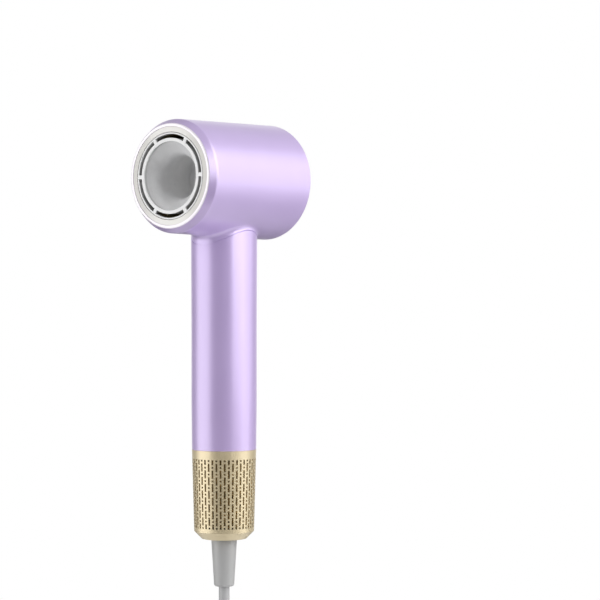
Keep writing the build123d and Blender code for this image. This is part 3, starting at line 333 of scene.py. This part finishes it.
def paint_light_by_mask(finish, mask, start, end, dark, light):
    """Blends a finish's colour with a second pair of tints, by a mask round the head axis: painted
    light and painted shade.
    """
    parts = finish.node_tree.nodes
    wires = finish.node_tree.links
    masks = parts.new("ShaderNodeGroup")
    masks.node_tree = head_axis_masks
    ramp = add_range(parts, low=start, high=end, curve="SMOOTHSTEP")
    second = parts.new("ShaderNodeGroup")
    second.node_tree = surface_grain
    for name in ("Grain", "Blotch", "Smooth", "Rough"):
        second.inputs[name].default_value = parts["Grain"].inputs[name].default_value
    second.inputs["Dark"].default_value = tint(*dark)
    second.inputs["Light"].default_value = tint(*light)
    blend = parts.new("ShaderNodeMix")
    blend.data_type = "RGBA"
    shader = parts["Principled BSDF"]
    first_colour = shader.inputs["Base Color"].links[0].from_socket
    wires.new(parts["Texture Coordinate"].outputs["Object"], masks.inputs["Vector"])
    wires.new(parts["Lay"].outputs["Vector"], second.inputs["Vector"])
    wires.new(masks.outputs[mask], ramp.inputs["Value"])
    wires.new(ramp.outputs["Result"], blend.inputs["Factor"])
    wires.new(first_colour, blend.inputs["A"])
    wires.new(second.outputs["Color"], blend.inputs["B"])
    wires.new(blend.outputs["Result"], shader.inputs["Base Color"])


face_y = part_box("nozzle_bezel")[0][1]
head_axis_z = (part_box("nozzle_bezel")[0][2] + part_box("nozzle_bezel")[1][2]) / 2
head_axis_masks = make_ring_group()

# Painted shade: the handle and the slider's floor take the same paint a little darker than the
# head.
shaded_lilac_shell = make_pearl("lilac_pearl_shaded", dark=(202, 179, 231), light=(206, 183, 235))
put_on(shaded_lilac_shell, "handle_shell", "slider_carriage")

# The bevel behind the lip is painted a shade deeper: painted shade, for the darker light the bevel
# mirrors. The front edge is painted pale all round: partly its bright turned edge, partly a
# painted highlight, so it draws a thin pale ring.
head_finish = make_pearl("lilac_head", dark=(206, 184, 235), light=(210, 188, 239))
# Painted shade: the head's paint is a tone deeper up to 4 mm behind the outlet's face, on the
# bevel.
paint_light_by_mask(
    head_finish, "Depth", start=4.5 * mm, end=4.0 * mm,
    dark=(190, 168, 218), light=(194, 172, 222),
)
# Painted highlight: the front edge, within 0.2 mm of the outlet's face, is painted near white.
paint_light_by_mask(
    head_finish, "Depth", start=0.2 * mm, end=0.08 * mm,
    dark=(248, 240, 252), light=(253, 247, 255),
)
put_on(head_finish, "head_shell")

# ---- Rear cap and disc ----
# A dished cap pressed into the rear rim, in a lighter spray of the same paint, round a flat disc.
# A thin red ring is inlaid in the disc.

rear_panel = make_finish(
    "rear_pearl", dark=(209, 188, 237), light=(213, 192, 241),
    metal=0.2, smooth=0.4, rough=0.46, grain=6500, blotch=40, depth=0.03,
)
add_clear_coat(rear_panel, weight=0.6, roughness=0.38, index=1.6)
accent = make_finish(
    "red_inlay", dark=(206, 42, 74), light=(216, 52, 82),
    metal=0.0, smooth=0.25, rough=0.35, grain=3000, blotch=200,
)
put_on(rear_panel, "rear_cap", "rear_disc")
put_on(accent, "accent_ring")

# ---- Nozzle: bezel, outlet ring and cup ----
# A pale anodised bezel pressed into the head, a white moulded outlet ring with six arc slots, and
# a blind grey cup in the middle of it.

pale_ring = make_finish(
    "pale_anodised", dark=(207, 205, 201), light=(213, 211, 207),
    metal=0.25, smooth=0.35, rough=0.45, grain=5000, blotch=80,
)
# Painted highlight: the bezel is painted lighter near its top and bottom than at its sides,
# standing in for the light its turned face catches there.
paint_light_by_mask(
    pale_ring, "Uprightness", start=0.68, end=0.98,
    dark=(231, 229, 225), light=(236, 234, 230),
)
outlet_white = make_finish(
    "outlet_white", dark=(250, 250, 250), light=(253, 253, 253),
    metal=0.0, smooth=0.3, rough=0.42, grain=3000, blotch=80,
)
set_gloss(outlet_white, 1.0)
# Painted shade: the white is painted grey deeper than 0.4 mm behind the face, on the walls of the
# slots and the bore.
paint_light_by_mask(
    outlet_white, "Depth", start=0.4 * mm, end=0.8 * mm,
    dark=(190, 190, 190), light=(200, 200, 200),
)
cup_grey = make_finish(
    "cup_grey", dark=(226, 226, 227), light=(232, 232, 233),
    metal=0.0, smooth=0.24, rough=0.32, grain=3200, blotch=60,
)
set_gloss(cup_grey, 0.9)
# Painted light: the cup is painted lighter deep in its throat, 10 to 22 mm behind the face.
paint_light_by_mask(
    cup_grey, "Depth", start=10 * mm, end=22 * mm,
    dark=(234, 234, 234), light=(238, 238, 238),
)
put_on(pale_ring, "nozzle_bezel")
put_on(outlet_white, "outlet_ring")
put_on(cup_grey, "inner_cup")

# ---- Power knob and temperature button ----
# Two small caps of brass-coloured alloy, with turned faces whose streaks of light are painted into
# their colour as painted glints. The knob is fixed to the slider's floor, and the button stands in
# its own round hole.


def make_turning_group():
    """Marks of a lathe on a round face: fine rings as bumps, and streaks that run out from the
    centre as painted glints.
    """
    takes = {"Vector": "Vector", "Rings": "Float"}
    gives = {"Streaks": "Float", "Height": "Float"}
    group, given, result = open_group("turned_marks", takes, gives)
    parts = group.nodes
    wires = group.links
    split = parts.new("ShaderNodeSeparateXYZ")
    wires.new(given.outputs["Vector"], split.inputs["Vector"])
    flat = parts.new("ShaderNodeCombineXYZ")
    wires.new(split.outputs["X"], flat.inputs["X"])
    wires.new(split.outputs["Z"], flat.inputs["Z"])
    reach = add_step(parts, "LENGTH", "ShaderNodeVectorMath")
    wires.new(flat.outputs["Vector"], reach.inputs[0])
    turns = add_step(parts, "MULTIPLY")
    wires.new(reach.outputs["Value"], turns.inputs[0])
    wires.new(given.outputs["Rings"], turns.inputs[1])
    ridge = add_step(parts, "PINGPONG")
    ridge.inputs[1].default_value = 0.5
    wires.new(turns.outputs["Value"], ridge.inputs[0])
    outward = add_step(parts, "NORMALIZE", "ShaderNodeVectorMath")
    wires.new(flat.outputs["Vector"], outward.inputs[0])
    fan = parts.new("ShaderNodeTexNoise")
    fan.inputs["Scale"].default_value = 3.2
    fan.inputs["Detail"].default_value = 4.0
    wires.new(outward.outputs["Vector"], fan.inputs["Vector"])
    spread = add_range(parts, low=0.38, high=0.62)
    wires.new(fan.outputs["Fac"], spread.inputs["Value"])
    wires.new(spread.outputs["Result"], result.inputs["Streaks"])
    wires.new(ridge.outputs["Value"], result.inputs["Height"])
    return group


def make_turned(name, centre_z):
    """Brass-coloured alloy with a turned face round its own centre on the back of the handle, with
    painted glints.
    """
    finish = make_finish(
        name, brass_dull, brass_light_and_glint,
        metal=0.75, smooth=0.26, rough=0.38, grain=4000, blotch=500, depth=0.1,
    )
    parts = finish.node_tree.nodes
    wires = finish.node_tree.links
    parts["Lay"].inputs["Location"].default_value = (0.0, 0.0, -centre_z)
    marks = parts.new("ShaderNodeGroup")
    marks.node_tree = turned_marks
    marks.inputs["Rings"].default_value = rings_to_the_metre
    # Painted glints: radial streaks of the brighter brass tone over the grain.
    shade = parts.new("ShaderNodeMix")
    shade.data_type = "RGBA"
    shade.inputs["B"].default_value = tint(*brass_light_and_glint)
    wires.new(parts["Lay"].outputs["Vector"], marks.inputs["Vector"])
    wires.new(marks.outputs["Streaks"], shade.inputs["Factor"])
    wires.new(parts["Grain"].outputs["Color"], shade.inputs["A"])
    wires.new(shade.outputs["Result"], parts["Principled BSDF"].inputs["Base Color"])
    wires.new(marks.outputs["Height"], parts["Relief"].inputs["Height"])
    return finish


turned_marks = make_turning_group()
rings_to_the_metre = 4500
brass_dull = (178, 166, 122)
brass_light_and_glint = (216, 205, 160)
knob_z = (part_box("power_knob")[0][2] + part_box("power_knob")[1][2]) / 2
button_z = (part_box("temp_button")[0][2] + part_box("temp_button")[1][2]) / 2
turned_knob = make_turned("turned_brass_knob", knob_z)
turned_button = make_turned("turned_brass_button", button_z)
put_on(turned_knob, "power_knob")
put_on(turned_button, "temp_button")

# ---- Numbers beside the slot ----
# Plain numbers for the three places of the power slider, printed in a darker lilac ink on the
# handle, one above the other.

print_turn = radians(23)
print_radius = 19.63 * mm
print_middle_z = 58.6 * mm
print_size = 2.3 * mm
print_pitch = 2.4 * mm
print_rise = 0.05 * mm
bpy.ops.object.select_all(action="DESELECT")
bpy.ops.object.text_add(
    location=(-print_radius * sin(print_turn), print_radius * cos(print_turn), print_middle_z),
    rotation=(pi / 2, 0.0, pi + print_turn),
)
slot_numbers = bpy.context.object
slot_numbers.name = "slot_numbers"
slot_numbers.data.body = "2\n1\n0"
slot_numbers.data.align_x = "CENTER"
slot_numbers.data.align_y = "CENTER"
slot_numbers.data.size = print_size
slot_numbers.data.space_line = print_pitch / print_size
slot_numbers.data.extrude = print_rise
bpy.ops.object.convert(target="MESH")
bpy.ops.object.transform_apply(location=True, rotation=True, scale=True)
number_ink = make_finish(
    "number_ink", dark=(150, 130, 178), light=(160, 140, 188),
    metal=0.0, smooth=0.45, rough=0.55, grain=5000, blotch=200, depth=0.05,
)
slot_numbers.data.materials.append(number_ink)
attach(slot_numbers, "dryer")

# ---- Filter cover and mesh ----
# A perforated metal cover, sand-blasted and coloured pale gold. Under it a fine mesh of woven wire
# lies on the intake cage and keeps dust out.

gold_cover = make_finish(
    "champagne_metal", dark=(221, 204, 167), light=(227, 211, 174),
    metal=0.5, smooth=0.34, rough=0.42, grain=5200, blotch=160, depth=0.04,
)
add_clear_coat(gold_cover, weight=0.6, roughness=0.34, index=1.6)
mesh_wire = make_finish(
    "woven_mesh", dark=(150, 130, 88), light=(240, 216, 160),
    metal=0.4, smooth=0.4, rough=0.6, grain=2600, blotch=160, depth=0.2,
)


def make_weave_group():
    """Plain weave: threads that pass over and under each other, up and across."""
    takes = {"Vector": "Vector", "Threads": "Float"}
    group, given, result = open_group("plain_weave", takes, {"Height": "Float"})
    parts = group.nodes
    wires = group.links
    split = parts.new("ShaderNodeSeparateXYZ")
    wires.new(given.outputs["Vector"], split.inputs["Vector"])
    across = add_step(parts, "ADD")
    wires.new(split.outputs["X"], across.inputs[0])
    wires.new(split.outputs["Y"], across.inputs[1])
    waves = []
    for way in (across.outputs["Value"], split.outputs["Z"]):
        count = add_step(parts, "MULTIPLY")
        wires.new(way, count.inputs[0])
        wires.new(given.outputs["Threads"], count.inputs[1])
        wave = add_step(parts, "SINE")
        wires.new(count.outputs["Value"], wave.inputs[0])
        waves.append(wave)
    crossing = add_step(parts, "MULTIPLY_ADD")
    crossing.inputs[2].default_value = 0.5
    halved = add_step(parts, "MULTIPLY")
    halved.inputs[1].default_value = 0.5
    wires.new(waves[0].outputs["Value"], halved.inputs[0])
    wires.new(halved.outputs["Value"], crossing.inputs[0])
    wires.new(waves[1].outputs["Value"], crossing.inputs[1])
    wires.new(crossing.outputs["Value"], result.inputs["Height"])
    return group


def weave(finish, threads):
    """Turns a finish into cloth or wire with so many threads to the metre, dark between them."""
    parts = finish.node_tree.nodes
    wires = finish.node_tree.links
    cloth = parts.new("ShaderNodeGroup")
    cloth.node_tree = plain_weave
    cloth.inputs["Threads"].default_value = threads * 2 * pi
    shade = parts.new("ShaderNodeMix")
    shade.data_type = "RGBA"
    shade.inputs["A"].default_value = parts["Grain"].inputs["Dark"].default_value
    shade.inputs["B"].default_value = parts["Grain"].inputs["Light"].default_value
    wires.new(parts["Lay"].outputs["Vector"], cloth.inputs["Vector"])
    wires.new(cloth.outputs["Height"], shade.inputs["Factor"])
    wires.new(cloth.outputs["Height"], parts["Relief"].inputs["Height"])
    wires.new(shade.outputs["Result"], parts["Principled BSDF"].inputs["Base Color"])


plain_weave = make_weave_group()
weave(mesh_wire, threads=1600)
put_on(gold_cover, "filter_cover")
put_on(mesh_wire, "filter_mesh")

# ---- Strain relief and the mains lead ----
# Soft grey sheath moulded round the lead where it leaves the handle. The lead hangs straight
# down, and the rest of it is folded into a hank held by a strap.

grey_rubber = make_finish(
    "grey_rubber", dark=(173, 173, 173), light=(179, 179, 179),
    metal=0.0, smooth=0.36, rough=0.44, grain=2600, blotch=90, depth=0.08,
)
cord_sheath = make_finish(
    "cord_sheath", dark=(176, 176, 177), light=(184, 184, 185),
    metal=0.0, smooth=0.38, rough=0.48, grain=2600, blotch=70, depth=0.08,
)
set_gloss(grey_rubber, 0.8)
set_gloss(cord_sheath, 0.6)
put_on(grey_rubber, "strain_relief")
put_on(cord_sheath, "cord_tail")

lead_d = 6.4 * mm
lead_exit = Vector((0.0, 0.0, -129.5 * mm))
hank_top = -219.5 * mm
hank_height = 120.0 * mm
hank_bend = 19.2 * mm
hank_corner = 19.87 * mm
hank_layers = [19.3 * mm, 12.9 * mm, 6.5 * mm, -6.5 * mm, -12.9 * mm, -19.3 * mm]
upper_centre = hank_top - hank_bend - lead_d / 2
lower_centre = hank_top - hank_height + hank_bend + lead_d / 2
bottom_angles = [195, 225, 255, 285, 315, 345]
top_angles = [15, 45, 75, 105, 135, 165]
plug_top = -353.5 * mm


def fold_points(centre, angles, layer):
    """The lead's corners round one end of the hank."""
    return [
        (hank_corner * cos(radians(angle)), layer, centre + hank_corner * sin(radians(angle)))
        for angle in angles
    ]


lead_route = [
    tuple(lead_exit),
    (0.0, 0.0, lead_exit.z - 30.0 * mm),
    (0.0, 0.0, hank_top),
    (0.0, 1.5 * mm, hank_top - 18.0 * mm),
    (-0.8 * mm, 9.5 * mm, hank_top - 37.0 * mm),
    (-3.5 * mm, 17.5 * mm, hank_top - 54.0 * mm),
    (-9.5 * mm, 19.3 * mm, hank_top - 70.0 * mm),
    (-17.5 * mm, 19.3 * mm, hank_top - 86.0 * mm),
]
for turn, layer in enumerate(hank_layers[:-1]):
    lead_route += fold_points(lower_centre, bottom_angles, layer)
    lead_route += fold_points(upper_centre, top_angles, hank_layers[turn + 1])
lead_route += [
    (-hank_bend, hank_layers[-1], lower_centre),
    (-hank_bend, hank_layers[-1], plug_top),
]
lead_line = bpy.data.curves.new("mains_cord", "CURVE")
lead_line.dimensions = "3D"
lead_line.bevel_depth = lead_d / 2
lead_line.bevel_resolution = 6
lead_line.resolution_u = 8
lead_line.use_fill_caps = True
strand = lead_line.splines.new("NURBS")
strand.points.add(len(lead_route) - 1)
for point, place in zip(strand.points, lead_route):
    point.co = (*place, 1.0)
strand.order_u = 3
strand.use_endpoint_u = True
lead_line.materials.append(cord_sheath)
mains_cord = bpy.data.objects.new("mains_cord", lead_line)
bpy.context.scene.collection.objects.link(mains_cord)
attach(mains_cord, "dryer")
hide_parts("cord_tube", "cord_hank")

# ---- Plug and hank strap ----
# A two-pin plug moulded onto the lead, with flat brass pins, and a woven black strap that is
# closed round the hank.

plug_grey = make_finish(
    "plug_grey", dark=(168, 168, 169), light=(178, 178, 179),
    metal=0.0, smooth=0.4, rough=0.52, grain=2400, blotch=80, depth=0.1,
)
pin_brass = make_finish(
    "pin_brass", dark=(184, 152, 84), light=(206, 176, 106),
    metal=1.0, smooth=0.2, rough=0.32, grain=2400, blotch=120, depth=0.06,
)
tie_strap = make_finish(
    "tie_strap", dark=(38, 38, 42), light=(66, 66, 70),
    metal=0.0, smooth=0.7, rough=0.85, grain=1500, blotch=200, depth=0.5,
)
weave(tie_strap, threads=700)
put_on(plug_grey, "plug_body")
put_on(pin_brass, "plug_pins")
put_on(tie_strap, "cord_tie")

# ---- Studio: floor, room and lamps ----
# A white floor under the hanging plug, and a room that is darker below and behind the camera.
# Two large soft boxes to the right and left, a narrow one for the bevel of the head, a low one
# under the barrel, a weak one behind to the right, and a weak one overhead.

view_turn = radians(38.5)
view_back = Vector((sin(view_turn), -cos(view_turn), 0.0))
view_right = Vector((cos(view_turn), sin(view_turn), 0.0))
view_distance = 1.19
view_height = 0.0405
view_shift_right = 0.0451

floor_size = 1.1
floor_gap = 0.5 * mm
shadow_reach = 0.18
floor_fade_end = 0.5
bpy.ops.object.select_all(action="DESELECT")
bpy.ops.mesh.primitive_plane_add(size=floor_size, location=(0.0, 0.0, cad_box[0][2] - floor_gap))
floor = bpy.context.object
floor.name = "studio_floor"
# Beyond the shadow the floor turns plain white for the camera, so it shows no edge.
floor_paint = make_finish(
    "studio_floor", dark=(240, 240, 240), light=(244, 244, 244),
    metal=0.0, smooth=0.7, rough=0.8, grain=200, blotch=4, depth=0.02,
)
floor_parts = floor_paint.node_tree.nodes
floor_wires = floor_paint.node_tree.links
away = add_step(floor_parts, "LENGTH", "ShaderNodeVectorMath")
edge_fade = add_range(floor_parts, low=shadow_reach, high=floor_fade_end, curve="SMOOTHSTEP")
floor_rays = floor_parts.new("ShaderNodeLightPath")
floor_seen = add_step(floor_parts, "MULTIPLY")
floor_white = floor_parts.new("ShaderNodeEmission")
floor_mix = floor_parts.new("ShaderNodeMixShader")
floor_wires.new(floor_parts["Texture Coordinate"].outputs["Object"], away.inputs[0])
floor_wires.new(away.outputs["Value"], edge_fade.inputs["Value"])
floor_wires.new(edge_fade.outputs["Result"], floor_seen.inputs[0])
floor_wires.new(floor_rays.outputs["Is Camera Ray"], floor_seen.inputs[1])
floor_wires.new(floor_seen.outputs["Value"], floor_mix.inputs["Fac"])
floor_wires.new(floor_parts["Principled BSDF"].outputs["BSDF"], floor_mix.inputs[1])
floor_wires.new(floor_white.outputs["Emission"], floor_mix.inputs[2])
floor_wires.new(floor_mix.outputs["Shader"], floor_parts["Material Output"].inputs["Surface"])
floor.data.materials.append(floor_paint)

# The camera sees a white room, and so does gloss that faces the backdrop. What lights the dryer
# is a grey room, paler overhead.
backdrop_edge = cos(radians(38))
backdrop_full = cos(radians(20))
world = bpy.data.worlds.new("studio_room")
bpy.context.scene.world = world
world.use_nodes = True
room_nodes = world.node_tree.nodes
room_links = world.node_tree.links
room = room_nodes["Background"]
rays = room_nodes.new("ShaderNodeLightPath")
way = room_nodes.new("ShaderNodeTexCoord")
facing = add_step(room_nodes, "DOT_PRODUCT", "ShaderNodeVectorMath")
facing.inputs[1].default_value = tuple(-view_back)
backdrop = add_range(room_nodes, low=backdrop_edge, high=backdrop_full, curve="SMOOTHSTEP")
above_floor = add_range(room_nodes, low=-0.3, high=0.05, curve="SMOOTHSTEP")
backdrop_wall = add_step(room_nodes, "MULTIPLY")
seen_in_gloss = add_step(room_nodes, "MULTIPLY")
seen_direct = add_step(room_nodes, "MAXIMUM")
seen = add_step(room_nodes, "MAXIMUM")
room_colour = room_nodes.new("ShaderNodeMix")
room_colour.data_type = "RGBA"
room_colour.inputs["B"].default_value = (1.0, 1.0, 1.0, 1.0)
room_height = room_nodes.new("ShaderNodeSeparateXYZ")
room_wall = add_range(room_nodes, low=-0.5, high=0.8, to_low=0.1, to_high=0.46)
camera_side = add_range(room_nodes, low=-0.95, high=-0.3, to_low=0.5, curve="SMOOTHSTEP")
room_level = add_step(room_nodes, "MULTIPLY")
room_links.new(way.outputs["Generated"], room_height.inputs[0])
room_links.new(room_height.outputs["Z"], room_wall.inputs["Value"])
room_links.new(way.outputs["Generated"], facing.inputs[0])
room_links.new(facing.outputs["Value"], backdrop.inputs["Value"])
room_links.new(facing.outputs["Value"], camera_side.inputs["Value"])
room_links.new(room_wall.outputs["Result"], room_level.inputs[0])
room_links.new(camera_side.outputs["Result"], room_level.inputs[1])
room_links.new(room_level.outputs["Value"], room_colour.inputs["A"])
room_links.new(rays.outputs["Is Glossy Ray"], seen_in_gloss.inputs[0])
room_links.new(room_height.outputs["Z"], above_floor.inputs["Value"])
room_links.new(backdrop.outputs["Result"], backdrop_wall.inputs[0])
room_links.new(above_floor.outputs["Result"], backdrop_wall.inputs[1])
room_links.new(backdrop_wall.outputs["Value"], seen_in_gloss.inputs[1])
room_links.new(rays.outputs["Is Camera Ray"], seen_direct.inputs[0])
room_links.new(rays.outputs["Is Transmission Ray"], seen_direct.inputs[1])
room_links.new(seen_in_gloss.outputs["Value"], seen.inputs[0])
room_links.new(seen_direct.outputs["Value"], seen.inputs[1])
room_links.new(seen.outputs["Value"], room_colour.inputs["Factor"])
room_links.new(room_colour.outputs["Result"], room.inputs["Color"])
room.inputs["Strength"].default_value = 1.0


def add_soft_box(name, round_degrees, up_degrees, distance, width, height, power):
    """A soft box that faces the dryer, placed round from the camera's side, plus to its right."""
    turn = radians(round_degrees)
    rise = radians(up_degrees)
    level_way = view_back * cos(turn) + view_right * sin(turn)
    way_out = level_way * cos(rise) + Vector((0.0, 0.0, sin(rise)))
    aim = Vector((0.0, 0.0, lamp_aim_height))
    bpy.ops.object.light_add(type="AREA", location=aim + way_out * distance)
    lamp = bpy.context.object
    lamp.name = name
    lamp.rotation_euler = way_out.to_track_quat("Z", "Y").to_euler()
    lamp.data.shape = "RECTANGLE"
    lamp.data.size = width
    lamp.data.size_y = height
    lamp.data.energy = power


lamp_aim_height = 50 * mm
add_soft_box(
    "right_box", round_degrees=63, up_degrees=25, distance=1.1, width=0.86, height=1.15, power=8.1,
)
add_soft_box(
    "band_box", round_degrees=38, up_degrees=20, distance=1.1, width=0.08, height=0.8, power=2.8,
)
add_soft_box(
    "low_box", round_degrees=80, up_degrees=-15, distance=1.1, width=0.7, height=0.55, power=1.35,
)
add_soft_box(
    "side_box", round_degrees=102, up_degrees=16, distance=1.2, width=0.48, height=1.05, power=2.0,
)
add_soft_box(
    "left_box", round_degrees=-77, up_degrees=3, distance=1.1, width=1.3, height=1.3, power=9.0,
)
add_soft_box(
    "top_box", round_degrees=20, up_degrees=80, distance=1.2, width=0.9, height=0.9, power=0.6,
)

# ---- Camera ----
# Level with the middle of the dryer, to the left front of the outlet.

camera_place = view_back * view_distance + view_right * view_shift_right
camera_place.z = view_height
bpy.ops.object.camera_add(location=camera_place, rotation=(pi / 2, 0.0, view_turn))
camera = bpy.context.object
camera.name = "main_camera"
camera.data.sensor_width = 36.0
camera.data.lens = 120.1
bpy.context.scene.camera = camera
bpy.context.scene.view_settings.view_transform = "Standard"
